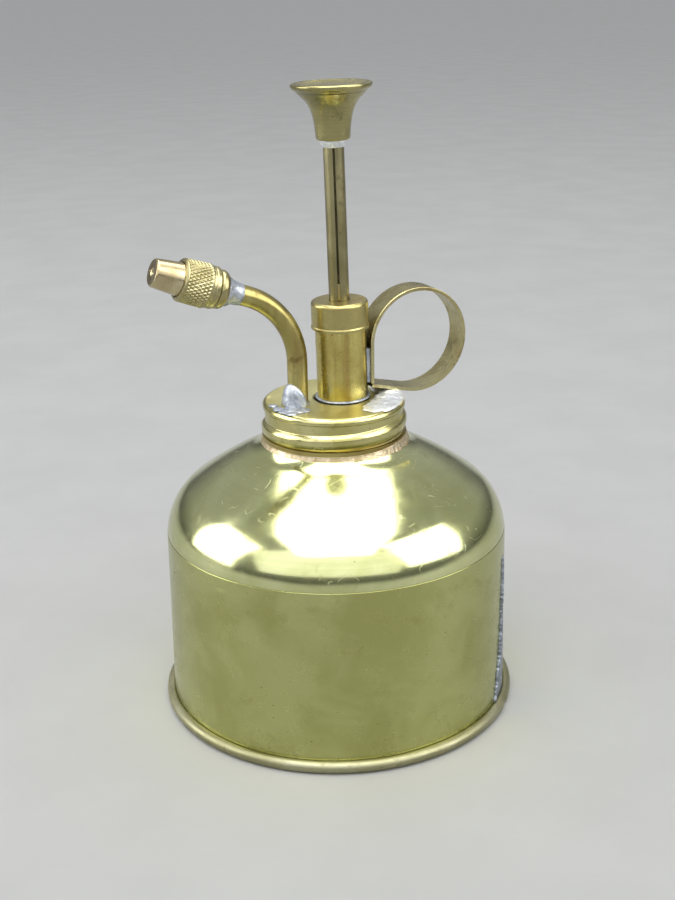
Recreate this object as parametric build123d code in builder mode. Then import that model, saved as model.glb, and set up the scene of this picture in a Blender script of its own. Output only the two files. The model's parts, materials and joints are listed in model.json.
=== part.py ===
from build123d import *
from math import acos, asin, cos, degrees, radians, sin, sqrt, tan
import os

# Brass plant mister with a thumb pump: a round soldered water can, a screw cap
# that carries the pump, a finger ring, and a bent spout with an adjustable nozzle.
# Millimetres, +Z up. The origin is the centre of the base, on the surface that it
# rests on. The spout points towards -X and the finger ring is on the +X side.

# ---------------------------------------------------------------- driving sizes
sheet = 0.5                     # thickness of the spun and rolled brass sheet

# water can
bead_radius = 43.0              # outside of the rolled bead round the base
bead_round = 1.4                # half the height of the bead
wall_radius_low = 41.1          # outside of the wall at the bead
wall_radius_high = 40.6         # outside of the wall where it starts to turn in
wall_foot = 0.52
wall_top = 43.7
dome_radius = 40.45             # outside of the dome, as if its shoulder ran down to dome_foot
dome_foot = 42.8                # height where the shoulder starts
shoulder_radius = 13.95
shoulder_turn = 53.1            # degrees, from upright
crown_radius = 81.0
flare_radius = 7.0              # hollow curve from the crown up to the neck
flare_tangent = 16.1            # radius where that curve would stand upright
throat_top = 65.97              # the curve is cut off here, under the neck's flange
skirt_radius = 40.05            # the part of the dome that slips inside the wall
skirt_foot = 37.0
floor_height = 3.0

# neck, and the thread shared by the neck and the cap
neck_radius = 15.5
neck_bore = 14.7
neck_foot = 63.0
neck_top = 72.8
flange_radius = 17.0
flange_low = 66.0
flange_high = 67.0
thread_pitch = 3.2
thread_azimuth = 246.0          # degrees; the thread's centre is at thread_height here
thread_height = 70.5
ridge_crest = 16.1
groove_root = 16.22

# screw cap and its washer
cap_radius = 16.7
cap_band_radius = 16.3
cap_skirt_radius = 16.5
cap_bore = 15.75
cap_low = 67.05
cap_top = 74.8
cap_plate = 0.8
cap_bead_radius = 17.1
cap_bead_half_width = 1.5
cap_rim_round = 1.2
washer_bore = 12.6

# pump, along an axis that leans a little towards the spout
pump_x = 2.4
pump_lean = 1.3                 # degrees
barrel_radius = 5.9
barrel_bore = 5.3
barrel_foot = -33.0             # heights along the pump axis, from the top of the cap
barrel_top = 22.3
barrel_cap_radius = 6.6
barrel_cap_low = 16.9
barrel_cap_top = 23.3
rod_radius = 2.35
rod_bore = 1.85
rod_slit = 0.5
rod_slit_azimuth = -114.0
rod_low = 22.2
rod_guide_radius = 2.45
knob_radius = 9.1
knob_low = 59.2
knob_top = 71.4
stud_radius = 1.25
barrel_solder_radius = 6.5
barrel_solder_height = 0.5
spring_wire = 0.7
spring_turns = 12

# foot valve at the bottom of the barrel
valve_top = -28.0
valve_foot = -45.0
valve_radius = 6.6
inlet_seat = -40.0
ball_radius = 2.0
boss_radius = 3.6
boss_low = 34.0
boss_top = 49.5
outlet_seat = 40.6
passage_height = 36.5
passage_radius = 0.9
pin_radius = 0.35
suction_radius = 2.5
suction_low = -68.0
suction_top = -41.1
strainer_radius = 4.0
strainer_low = -69.5
strainer_top = -61.0

# spout: one tube from the foot valve to the nozzle
spout_x = -8.95
tube_radius = 2.35
tube_bore = 1.85
tube_foot = 46.2
spout_bend = 17.7
spout_rise = 19.7               # degrees above level

# nozzle, measured back from its face
nozzle_face = (-41.8, 0, 108.9)
tip_face_radius = 3.15
tip_root_radius = 3.75
nut_front_radius = 4.8
nut_radius = 5.0                # at the back of the knurl; the nut tapers a little
nut_collar_radius = 4.75
nut_front = -6.2
nut_rear = -14.7
knurl_front = -6.6
knurl_rear = -12.6
thread_radius = 3.95
thread_front = -10.2
flange_front = -14.95           # rounded flange of the adapter, just behind the nut
flange_rear = -16.9
adapter_rear = -17.9
tube_end = -15.8
solder_rear = -20.9

# finger ring, a bent strip
ring_x = 20.8
ring_z = 86.9
ring_radius = 12.5
ring_strip = 0.8
ring_width = 6.4
ring_leg_x = 8.3
ring_leg_foot = 77.85
ring_tail_rise = 13.1           # degrees
ring_tail_x = 8.45

# ---------------------------------------------------------------- shared frames
section = Plane.XZ              # local x is the radius, local y the height
lean = radians(pump_lean)
pump_origin = (pump_x, 0, cap_top)
pump_direction = (-sin(lean), 0, cos(lean))
pump_axis = Axis(pump_origin, pump_direction)
pump_plane = Plane(pump_origin, x_dir=(cos(lean), 0, sin(lean)), z_dir=pump_direction)
pump_section = Plane(pump_origin, x_dir=(cos(lean), 0, sin(lean)), z_dir=(0, -1, 0))

rise = radians(spout_rise)
nozzle_direction = (-cos(rise), 0, sin(rise))
nozzle_axis = Axis(nozzle_face, nozzle_direction)
nozzle_plane = Plane(nozzle_face, x_dir=(sin(rise), 0, cos(rise)), z_dir=nozzle_direction)
nozzle_section = Plane(nozzle_face, x_dir=(sin(rise), 0, cos(rise)), z_dir=(0, -1, 0))
spout_axis = Axis((spout_x, 0, 0), (0, 0, 1))

# centres of the dome's arcs, in the section plane
shoulder = radians(shoulder_turn)
crown_x = dome_radius - shoulder_radius + (shoulder_radius - crown_radius) * cos(shoulder)
crown_z = dome_foot + (shoulder_radius - crown_radius) * sin(shoulder)
flare_x = flare_tangent + flare_radius
crown_end = acos((flare_x - crown_x) / (crown_radius + flare_radius))
flare_z = crown_z + (crown_radius + flare_radius) * sin(crown_end)
flare_end = asin((flare_z - throat_top) / flare_radius)


def helix_height(azimuth):
    """Height of the cap thread's centre line at an azimuth in degrees."""
    return thread_height + thread_pitch * (azimuth - thread_azimuth) / 360


def helix_azimuth(height):
    """Azimuth, in degrees, where the thread's centre line has this height."""
    return thread_azimuth + 360 * (height - thread_height) / thread_pitch


def helical_rib(start, end, radius, half_width, sink, height):
    """Rib of rounded section along the cap thread, between two azimuths.

    It starts sink below the radius that it is drawn on and stands height above it.
    """
    low = helix_height(start)
    with BuildPart() as rib:
        with BuildLine() as path:
            Helix(thread_pitch, helix_height(end) - low, radius, center=(0, 0, low))
        with BuildSketch(Plane((radius, 0, low), x_dir=(1, 0, 0), z_dir=(0, -1, 0))):
            with BuildLine():
                ThreePointArc((-sink, -half_width), (height, 0), (-sink, half_width))
                Line((-sink, half_width), (-sink, -half_width))
            make_face()
        sweep(path=path.line, is_frenet=True)
    return rib.part.rotate(Axis.Z, start)


# ================================================================= water can
turned_in = wall_top - dome_foot                        # height of the wall's turned-in edge
outer_turn = shoulder_radius + wall_radius_high - dome_radius
inner_turn = outer_turn - sheet
with BuildPart() as reservoir_wall:
    with BuildSketch(section):
        with BuildLine():
            side = Line((wall_radius_low, wall_foot), (wall_radius_high, dome_foot))
            brow = JernArc(side @ 1, (0, 1), outer_turn, degrees(asin(turned_in / outer_turn)))
            inner_side = Line(
                (wall_radius_low - sheet, wall_foot),
                (wall_radius_high - sheet, dome_foot),
            )
            inner_brow = JernArc(inner_side @ 1, (0, 1), inner_turn, degrees(asin(turned_in / inner_turn)))
            Line(brow @ 1, inner_brow @ 1)
            Line(inner_side @ 0, side @ 0)
        make_face()
    revolve(axis=Axis.Z)
    fillet(reservoir_wall.edges().group_by(Axis.Z)[-1].sort_by(SortBy.RADIUS)[-1], radius=0.2)
reservoir_wall.part.label = "reservoir_wall"

# the dome's skirt follows the wall inside, and steps out to the shoulder above it
skirt_turn = skirt_radius - (dome_radius - shoulder_radius)
tucked = asin(turned_in / skirt_turn)
stepped_out = tucked + (shoulder_radius - skirt_turn) / shoulder_radius
with BuildPart() as reservoir_dome:
    with BuildSketch(section):
        with BuildLine():
            skirt = Line((skirt_radius, skirt_foot), (skirt_radius, dome_foot))
            skirt_arc = JernArc(skirt @ 1, (0, 1), skirt_turn, degrees(tucked))
            joggle = Line(
                skirt_arc @ 1,
                (
                    dome_radius - shoulder_radius + shoulder_radius * cos(stepped_out),
                    dome_foot + shoulder_radius * sin(stepped_out),
                ),
            )
            round_shoulder = JernArc(
                joggle @ 1,
                (-sin(stepped_out), cos(stepped_out)),
                shoulder_radius,
                shoulder_turn - degrees(stepped_out),
            )
            crown_turn = degrees(crown_end) - shoulder_turn
            crown = JernArc(round_shoulder @ 1, round_shoulder % 1, crown_radius, crown_turn)
            JernArc(crown @ 1, crown % 1, flare_radius, -degrees(crown_end - flare_end))
            offset(amount=sheet, side=Side.LEFT)
        make_face()
    revolve(axis=Axis.Z)
reservoir_dome.part.label = "reservoir_dome"

# floor, an upright lip inside the wall, and a bead rolled up round the wall's foot
with BuildPart() as base_plate:
    bead_centre = bead_radius - bead_round
    lip_radius = wall_radius_low - 2 * sheet - 0.1
    lip_round = 0.6
    with BuildSketch(section):
        with BuildLine():
            bead = CenterArc((bead_centre, bead_round), bead_round, 111, -201)
            land = Line(bead @ 1, (lip_radius + lip_round, 0))
            toe = JernArc(land @ 1, land % 1, lip_round, -90)
            lip = Line(toe @ 1, (lip_radius, floor_height - lip_round))
            heel = JernArc(lip @ 1, lip % 1, lip_round, 90)
            Line(heel @ 1, (0, floor_height))
            offset(amount=sheet, side=Side.RIGHT)
        make_face()
    revolve(axis=Axis.Z)
base_plate.part.label = "base_plate"

# threaded neck with a flange that sits on the rim of the dome
ridge_start = -40.0
ridge_end = helix_azimuth(neck_top - 0.9)
neck_ridge = helical_rib(ridge_start, ridge_end, neck_radius, 0.75, 0.3, ridge_crest - neck_radius)
with BuildPart() as neck_collar:
    with BuildSketch(section):
        with BuildLine():
            Polyline(
                (neck_bore, neck_foot),
                (neck_radius, neck_foot),
                (neck_radius, flange_low),
                (flange_radius, flange_low),
                (flange_radius, flange_high),
                (neck_radius, flange_high),
                (neck_radius, neck_top),
                (neck_bore, neck_top),
                close=True,
            )
        make_face()
    revolve(axis=Axis.Z)
    add(neck_ridge)
neck_collar.part.label = "neck_collar"

# solder in the corner between the flange and the hollow curve of the dome
solder_gap = 0.02
foot_angle = 38.0               # where its foot lies on the curve, in degrees below level
with BuildPart() as neck_solder:
    with BuildSketch(section):
        with BuildLine():
            top_angle = degrees(flare_end) + 0.5
            contact = CenterArc(
                (flare_x, flare_z),
                flare_radius - solder_gap,
                180 + top_angle,
                foot_angle - top_angle,
            )
            foot = contact @ 1
            Polyline(
                foot,
                foot + Vector(0.25, 0.05),
                (flange_radius + 0.3, flange_low - 0.4),
                (flange_radius, flange_low - solder_gap),
                contact @ 0,
            )
        make_face()
    revolve(axis=Axis.Z)
neck_solder.part.label = "neck_solder"

# silver solder smeared over the lap of the wall, wider towards the base
seam_azimuth = -40.0
seam_low = 3.0
seam_high = 38.5
with BuildPart() as seam_solder:
    seam_frame = Plane.XY.rotated((0, 0, seam_azimuth))
    seam_plane = Plane((0, 0, 0), x_dir=seam_frame.y_dir, z_dir=seam_frame.x_dir)
    with BuildSketch(seam_plane.offset(wall_radius_high - 4)):
        with BuildLine():
            Polyline(
                (4.5, seam_low),
                (5.5, 14),
                (2.0, 24),
                (1.8, seam_high),
                (0.4, seam_high),
                (-1.2, 26),
                (-2.6, 16),
                (-6.4, seam_low),
                close=True,
            )
        make_face()
    extrude(amount=6)
    with BuildSketch(section):
        with BuildLine():
            Polyline(
                (wall_radius_low + 0.02, wall_foot),
                (wall_radius_low + 0.42, seam_low),
                (wall_radius_high + 0.36, dome_foot),
                (wall_radius_high + 0.02, dome_foot),
                close=True,
            )
        make_face()
    revolve(axis=Axis.Z, mode=Mode.INTERSECT)
seam_solder.part.label = "seam_solder"

# ================================================================= cap
with BuildPart() as cap_washer:
    with BuildSketch(Plane.XY.offset(neck_top + 0.05)):
        Circle(neck_radius)
        Circle(washer_bore, mode=Mode.SUBTRACT)
    extrude(amount=cap_top - cap_plate - neck_top - 0.1)
cap_washer.part.label = "cap_washer"

barrel_hole_x = pump_x - 0.3
barrel_hole_radius = 6.5
# bead rolled outwards once round, and the groove for the neck's ridge, which runs
# out through the bottom of the skirt
bead_start = thread_azimuth - 180
bead_height = cap_bead_radius - cap_band_radius
cap_bead = helical_rib(bead_start, bead_start + 360, cap_band_radius, cap_bead_half_width, 0.05, bead_height)
groove_start = helix_azimuth(cap_low - 1.2)
groove_depth = groove_root - cap_bore
cap_groove = helical_rib(groove_start, ridge_end + 6, cap_bore, 0.95, 0.3, groove_depth)
with BuildPart() as screw_cap:
    with BuildSketch(section):
        with BuildLine():
            Polyline(
                (0, cap_top - cap_plate),
                (0, cap_top),
                (cap_radius - cap_rim_round, cap_top),
            )
            rim = JernArc((cap_radius - cap_rim_round, cap_top), (1, 0), cap_rim_round, -90)
            Polyline(
                rim @ 1,
                (cap_band_radius, cap_top - cap_rim_round - 0.8),
                (cap_band_radius, cap_low + 2.6),
                (cap_skirt_radius, cap_low + 2.2),
                (cap_skirt_radius, cap_low),
                (cap_bore, cap_low),
                (cap_bore, cap_top - cap_plate),
                (0, cap_top - cap_plate),
            )
        make_face()
    revolve(axis=Axis.Z)
    add(cap_bead)
    add(cap_groove, mode=Mode.SUBTRACT)
    # holes for the barrel and the spout tube
    with BuildSketch(Plane.XY.offset(cap_top)):
        with Locations((barrel_hole_x, 0)):
            Circle(barrel_hole_radius)
        with Locations((spout_x, 0)):
            Circle(tube_radius + 0.15)
    extrude(amount=-2 * cap_plate, mode=Mode.SUBTRACT)
screw_cap.part.label = "screw_cap"

# ================================================================= pump
with BuildPart() as pump_barrel:
    with BuildSketch(pump_plane.offset(barrel_foot)):
        Circle(barrel_radius)
        Circle(barrel_bore, mode=Mode.SUBTRACT)
    extrude(amount=barrel_top - barrel_foot)
pump_barrel.part.label = "pump_barrel"

# cap on the barrel, with a guide hole for the rod and a small lip at its foot
with BuildPart() as barrel_cap:
    cap_round = 0.9
    with BuildSketch(pump_section):
        with BuildLine():
            Polyline(
                (barrel_radius + 0.03, barrel_cap_low),
                (barrel_cap_radius + 0.15, barrel_cap_low),
                (barrel_cap_radius + 0.15, barrel_cap_low + 0.5),
                (barrel_cap_radius, barrel_cap_low + 0.8),
                (barrel_cap_radius, barrel_cap_top - cap_round),
            )
            JernArc((barrel_cap_radius, barrel_cap_top - cap_round), (0, 1), cap_round, 90)
            Polyline(
                (barrel_cap_radius - cap_round, barrel_cap_top),
                (rod_guide_radius, barrel_cap_top),
                (rod_guide_radius, barrel_top + 0.05),
                (barrel_radius + 0.03, barrel_top + 0.05),
                (barrel_radius + 0.03, barrel_cap_low),
            )
        make_face()
    revolve(axis=pump_axis)
barrel_cap.part.label = "barrel_cap"

# rod rolled from sheet, with the open slit along its whole length
rod_top = 66.0
with BuildPart() as plunger_rod:
    with BuildSketch(pump_plane.offset(rod_low)):
        Circle(rod_radius)
        Circle(rod_bore, mode=Mode.SUBTRACT)
        with PolarLocations((rod_radius + rod_bore) / 2, 1, start_angle=rod_slit_azimuth):
            Rectangle(2 * (rod_radius - rod_bore), rod_slit, mode=Mode.SUBTRACT)
    extrude(amount=rod_top - rod_low)
plunger_rod.part.label = "plunger_rod"

# turned thumb knob: dished top, rounded rim, and a waist that flares to the rim
with BuildPart() as thumb_knob:
    knob_bore = rod_radius + 0.02
    rim_round = 0.6
    with BuildSketch(pump_section):
        with BuildLine():
            Polyline((0, rod_top + 0.1), (0, knob_top - 0.9))
            ThreePointArc(
                (0, knob_top - 0.9),
                (0.6 * knob_radius, knob_top - 0.55),
                (knob_radius - rim_round, knob_top),
            )
            ThreePointArc(
                (knob_radius - rim_round, knob_top),
                (knob_radius, knob_top - rim_round),
                (knob_radius - 0.35, knob_top - 2 * rim_round),
            )
            Spline(
                (knob_radius - 0.35, knob_top - 2 * rim_round),
                (7.2, knob_top - 2.55),
                (5.4, knob_top - 4.3),
                (4.5, knob_top - 6.2),
                (4.2, knob_top - 7.6),
            )
            Polyline(
                (4.2, knob_top - 7.6),
                (3.8, knob_low + 0.3),
                (3.5, knob_low),
                (knob_bore, knob_low),
                (knob_bore, rod_top + 0.1),
                (0, rod_top + 0.1),
            )
        make_face()
    revolve(axis=pump_axis)
thumb_knob.part.label = "thumb_knob"

with BuildPart() as knob_solder:
    with BuildSketch(pump_section):
        with BuildLine():
            Polyline(
                (rod_radius + 0.02, knob_low - 0.02),
                (3.1, knob_low - 0.02),
                (2.9, knob_low - 0.8),
                (rod_radius + 0.02, knob_low - 1.6),
                close=True,
            )
        make_face()
    revolve(axis=pump_axis)
knob_solder.part.label = "knob_solder"

# piston: carrier with a spigot in the rod and a stud below, cup, washer and nut
carrier_low = 19.8
cup_low = 14.6
cup_disc = 1.2
piston_washer_thickness = 0.8
nut_height = 2.0
cup_floor = carrier_low - cup_disc
washer_low = cup_floor - piston_washer_thickness
with BuildPart() as piston_carrier:
    with BuildSketch(pump_section):
        with BuildLine():
            Polyline(
                (0, rod_low + 5),
                (rod_bore - 0.02, rod_low + 5),
                (rod_bore - 0.02, rod_low - 0.02),
                (barrel_bore - 0.15, rod_low - 0.02),
                (barrel_bore - 0.15, carrier_low),
                (stud_radius, carrier_low),
                (stud_radius, washer_low - nut_height - 0.6),
                (0, washer_low - nut_height - 0.6),
                close=True,
            )
        make_face()
    revolve(axis=pump_axis)
piston_carrier.part.label = "piston_carrier"

with BuildPart() as leather_cup:
    with BuildSketch(pump_section):
        with BuildLine():
            Polyline(
                (stud_radius + 0.02, carrier_low - 0.01),
                (barrel_bore - 0.5, carrier_low - 0.01),
                (barrel_bore - 0.1, carrier_low - 0.6),
                (barrel_bore - 0.1, cup_low),
                (barrel_bore - 1.0, cup_low),
                (barrel_bore - 1.2, cup_floor),
                (stud_radius + 0.02, cup_floor),
                close=True,
            )
        make_face()
    revolve(axis=pump_axis)
leather_cup.part.label = "leather_cup"

with BuildPart() as piston_washer:
    with BuildSketch(pump_plane.offset(washer_low)):
        Circle(barrel_bore - 1.4)
        Circle(stud_radius + 0.02, mode=Mode.SUBTRACT)
    extrude(amount=piston_washer_thickness - 0.01)
piston_washer.part.label = "piston_washer"

with BuildPart() as piston_nut:
    with BuildSketch(pump_plane.offset(washer_low - 0.01)):
        RegularPolygon(2.5, 6, major_radius=False)
        Circle(stud_radius + 0.02, mode=Mode.SUBTRACT)
    extrude(amount=-nut_height)
    chamfer(piston_nut.faces().sort_by(pump_axis)[0].outer_wire().edges(), length=0.25)
piston_nut.part.label = "piston_nut"

# return spring between the foot valve and the piston washer, in the barrel
spring_radius = 3.5
spring_low = valve_top + spring_wire / 2 + 0.05
spring_high = washer_low - spring_wire / 2 - 0.1
with BuildPart() as return_spring:
    with BuildLine(pump_plane) as spring_path:
        coil = Helix(
            (spring_high - spring_low) / spring_turns,
            spring_high - spring_low,
            spring_radius,
            center=(0, 0, spring_low),
            direction=pump_direction,
        )
    with BuildSketch(Plane(coil @ 0, z_dir=coil % 0)):
        Circle(spring_wire / 2)
    sweep(path=spring_path.line, is_frenet=True)
return_spring.part.label = "return_spring"

# ================================================================= foot valve
valve_pin_height = inlet_seat + sqrt(ball_radius**2 - 1.5**2) + ball_radius + 1.5 + pin_radius
outlet_pin_height = outlet_seat + sqrt(ball_radius**2 - 1.1**2) + ball_radius + 1.2 + pin_radius
with BuildPart() as foot_valve_body:
    with BuildSketch(pump_plane.offset(valve_foot)):
        Circle(valve_radius)
    extrude(amount=barrel_foot - valve_foot - 0.02)
    with BuildSketch(pump_plane.offset(barrel_foot - 0.02)):
        Circle(barrel_bore - 0.02)
    extrude(amount=valve_top - barrel_foot + 0.02)
    # side boss for the spout tube, and the web that joins it to the body
    with BuildSketch(Plane.XY.offset(boss_low)):
        with Locations((spout_x, 0)):
            Circle(boss_radius)
        with Locations((spout_x / 2, 0)):
            Rectangle(-spout_x, 5)
    extrude(amount=5)
    with BuildSketch(Plane.XY.offset(boss_low)):
        with Locations((spout_x, 0)):
            Circle(boss_radius)
    extrude(amount=boss_top - boss_low)
    # inlet: socket for the suction tube, valve seat and ball chamber
    with BuildSketch(pump_plane.offset(valve_foot)):
        Circle(suction_radius + 0.05)
    extrude(amount=4, mode=Mode.SUBTRACT)
    with BuildSketch(pump_plane.offset(valve_foot)):
        Circle(1.5)
    extrude(amount=inlet_seat - valve_foot, mode=Mode.SUBTRACT)
    with BuildSketch(pump_plane.offset(inlet_seat)):
        Circle(3)
    extrude(amount=valve_top - inlet_seat, mode=Mode.SUBTRACT)
    # outlet: drilled passage, rising port, ball chamber and tube socket
    with BuildSketch(Plane.YZ.offset(spout_x - boss_radius - 1)):
        with Locations((0, passage_height)):
            Circle(passage_radius)
    extrude(amount=-spout_x + boss_radius + 2, mode=Mode.SUBTRACT)
    with BuildSketch(Plane.XY.offset(passage_height)):
        with Locations((spout_x, 0)):
            Circle(1.1)
    extrude(amount=outlet_seat - passage_height, mode=Mode.SUBTRACT)
    with BuildSketch(Plane.XY.offset(outlet_seat)):
        with Locations((spout_x, 0)):
            Circle(tube_radius + 0.05)
    extrude(amount=boss_top - outlet_seat, mode=Mode.SUBTRACT)
    # cross holes for the two pins that stop the balls
    with BuildSketch(Plane.XZ):
        with Locations((spout_x, outlet_pin_height)):
            Circle(pin_radius + 0.01)
    extrude(amount=boss_radius + 1, both=True, mode=Mode.SUBTRACT)
    with BuildSketch(pump_section):
        with Locations((0, valve_pin_height)):
            Circle(pin_radius + 0.01)
    extrude(amount=valve_radius + 1, both=True, mode=Mode.SUBTRACT)
foot_valve_body.part.label = "foot_valve_body"

with BuildPart() as inlet_pin:
    with BuildSketch(pump_section):
        with Locations((0, valve_pin_height)):
            Circle(pin_radius)
    extrude(amount=valve_radius - 0.3, both=True)
inlet_pin.part.label = "inlet_pin"

with BuildPart() as outlet_pin:
    with BuildSketch(Plane.XZ):
        with Locations((spout_x, outlet_pin_height)):
            Circle(pin_radius)
    extrude(amount=boss_radius - 0.2, both=True)
outlet_pin.part.label = "outlet_pin"

with BuildPart() as passage_plug:
    with BuildSketch(Plane.YZ.offset(spout_x - boss_radius + 0.1)):
        with Locations((0, passage_height)):
            Circle(passage_radius - 0.02)
    extrude(amount=2)
passage_plug.part.label = "passage_plug"

with BuildPart() as inlet_ball:
    ball_lift = sqrt(ball_radius**2 - 1.5**2) + 0.04
    with Locations(pump_plane.offset(inlet_seat + ball_lift)):
        Sphere(ball_radius)
inlet_ball.part.label = "inlet_ball"

with BuildPart() as outlet_ball:
    ball_lift = sqrt(ball_radius**2 - 1.1**2) + 0.04
    with Locations((spout_x, 0, outlet_seat + ball_lift)):
        Sphere(ball_radius)
outlet_ball.part.label = "outlet_ball"

with BuildPart() as suction_tube:
    with BuildSketch(pump_plane.offset(suction_low)):
        Circle(suction_radius)
        Circle(suction_radius - 0.5, mode=Mode.SUBTRACT)
    extrude(amount=suction_top - suction_low)
suction_tube.part.label = "suction_tube"

# strainer: a thimble with rows of holes, gripped on the suction tube
with BuildPart() as strainer:
    with BuildSketch(pump_section):
        with BuildLine():
            Polyline(
                (0, strainer_low),
                (strainer_radius, strainer_low),
                (strainer_radius, strainer_top),
                (suction_radius + 0.02, strainer_top),
                (suction_radius + 0.02, strainer_top - 0.5),
                (strainer_radius - 0.5, strainer_top - 0.5),
                (strainer_radius - 0.5, strainer_low + 0.5),
                (0, strainer_low + 0.5),
                close=True,
            )
        make_face()
    revolve(axis=pump_axis)
    for row in range(3):
        row_plane = pump_plane.offset(strainer_low + 2 + 1.8 * row)
        for step in range(4):
            turn = 45 * step + 22.5 * (row % 2)
            across = Plane(row_plane.origin, z_dir=row_plane.x_dir.rotate(pump_axis, turn))
            with BuildSketch(across):
                Circle(0.45)
            extrude(amount=strainer_radius + 1, both=True, mode=Mode.SUBTRACT)
    with BuildSketch(pump_plane.offset(strainer_low - 0.5)):
        Circle(0.45)
        with PolarLocations(2, 6):
            Circle(0.45)
    extrude(amount=1.5, mode=Mode.SUBTRACT)
strainer.part.label = "strainer"

# ================================================================= spout and nozzle
# the tube rises straight through the cap, bends once, and runs straight to the nozzle
corner_z = nozzle_face[2] - (spout_x - nozzle_face[0]) * tan(rise)
spout_end = nozzle_plane.from_local_coords(Vector(0, 0, tube_end))
with BuildPart() as delivery_tube:
    with BuildLine(section) as spout_path:
        FilletPolyline(
            (spout_x, tube_foot),
            (spout_x, corner_z),
            (spout_end.X, spout_end.Z),
            radius=spout_bend,
        )
    with BuildSketch(Plane((spout_x, 0, tube_foot))):
        Circle(tube_radius)
        Circle(tube_bore, mode=Mode.SUBTRACT)
    sweep(path=spout_path.line)
delivery_tube.part.label = "delivery_tube"

adapter_bore = 1.6
adapter_tail_radius = 3.1
with BuildPart() as nozzle_adapter:
    with BuildSketch(nozzle_section):
        with BuildLine():
            Polyline(
                (adapter_bore, thread_front),
                (thread_radius - 0.4, thread_front),
                (thread_radius, thread_front - 0.4),
                (thread_radius, flange_front),
                (4.25, flange_front),
            )
            ThreePointArc(
                (4.25, flange_front),
                (4.4, flange_front - 0.7),
                (3.8, flange_rear),
            )
            Polyline(
                (3.8, flange_rear),
                (adapter_tail_radius, flange_rear),
                (adapter_tail_radius, adapter_rear),
                (tube_radius + 0.03, adapter_rear),
                (tube_radius + 0.03, tube_end + 0.02),
                (adapter_bore, tube_end + 0.02),
                (adapter_bore, thread_front),
            )
        make_face()
    revolve(axis=nozzle_axis)
nozzle_adapter.part.label = "nozzle_adapter"

with BuildPart() as nozzle_solder:
    with BuildSketch(nozzle_section):
        with BuildLine():
            Polyline(
                (3.65, flange_rear - 0.02),
                (adapter_tail_radius + 0.02, flange_rear - 0.02),
                (adapter_tail_radius + 0.02, adapter_rear - 0.02),
                (tube_radius + 0.03, adapter_rear - 0.02),
                (tube_radius + 0.03, solder_rear),
            )
            ThreePointArc(
                (tube_radius + 0.03, solder_rear),
                (3.0, flange_rear - 1.6),
                (3.65, flange_rear - 0.02),
            )
        make_face()
    revolve(axis=nozzle_axis)
nozzle_solder.part.label = "nozzle_solder"

with BuildPart() as nozzle_washer:
    with BuildSketch(nozzle_plane.offset(thread_front + 0.08)):
        Circle(thread_radius - 0.05)
        Circle(adapter_bore, mode=Mode.SUBTRACT)
    extrude(amount=0.8)
nozzle_washer.part.label = "nozzle_washer"

# tip: a tapered snout with a rear flange, a swirl chamber and a fine jet
tip_rear = -9.3
tip_flange_radius = 4.35
tip_flange_front = nut_front - 0.95
swirl_bore = 2.3
with BuildPart() as nozzle_tip:
    with BuildSketch(nozzle_section):
        with BuildLine():
            Polyline(
                (0.4, -0.5),
                (1.0, 0),
                (tip_face_radius - 0.25, 0),
                (tip_face_radius, -0.25),
                (tip_root_radius, nut_front - 0.1),
                (tip_root_radius, tip_flange_front),
                (tip_flange_radius, tip_flange_front),
                (tip_flange_radius, tip_rear),
                (swirl_bore, tip_rear),
                (swirl_bore, -2.6),
                (0.4, -1.2),
                close=True,
            )
        make_face()
    revolve(axis=nozzle_axis)
nozzle_tip.part.label = "nozzle_tip"

# swirl core: a plug with slanting side slots that spin the water before the jet
with BuildPart() as swirl_core:
    core_length = 5.4
    with BuildSketch(nozzle_plane.offset(-3.0)):
        Circle(swirl_bore - 0.05)
    extrude(amount=-core_length)
    for slot in range(3):
        slot_direction = nozzle_plane.x_dir.rotate(nozzle_axis, 120 * slot)
        slot_origin = nozzle_plane.from_local_coords(Vector(0, 0, -3.0 - core_length / 2))
        slot_frame = Plane(slot_origin, x_dir=nozzle_direction, z_dir=slot_direction)
        slot_frame = slot_frame.rotated((0, 0, 25))
        with BuildSketch(slot_frame.offset(swirl_bore - 0.8)):
            Rectangle(2 * core_length, 0.8)
        extrude(amount=2, mode=Mode.SUBTRACT)
swirl_core.part.label = "swirl_core"

# union nut that holds the tip; turning it on the adapter's thread moves the tip
with BuildPart() as nozzle_nut:
    with BuildSketch(nozzle_section):
        with BuildLine():
            Polyline(
                (tip_root_radius + 0.1, nut_front),
                (nut_front_radius - 0.4, nut_front),
                (nut_front_radius, knurl_front),
                (nut_radius, knurl_rear),
                (nut_collar_radius, knurl_rear - 0.25),
                (nut_collar_radius, nut_rear + 0.3),
                (nut_collar_radius - 0.3, nut_rear),
                (thread_radius + 0.1, nut_rear),
                (thread_radius + 0.1, tip_rear - 0.3),
                (tip_flange_radius + 0.1, tip_rear - 0.3),
                (tip_flange_radius + 0.1, tip_flange_front + 0.1),
                (tip_root_radius + 0.1, tip_flange_front + 0.1),
                close=True,
            )
        make_face()
    revolve(axis=nozzle_axis)
nozzle_nut.part.label = "nozzle_nut"

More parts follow.
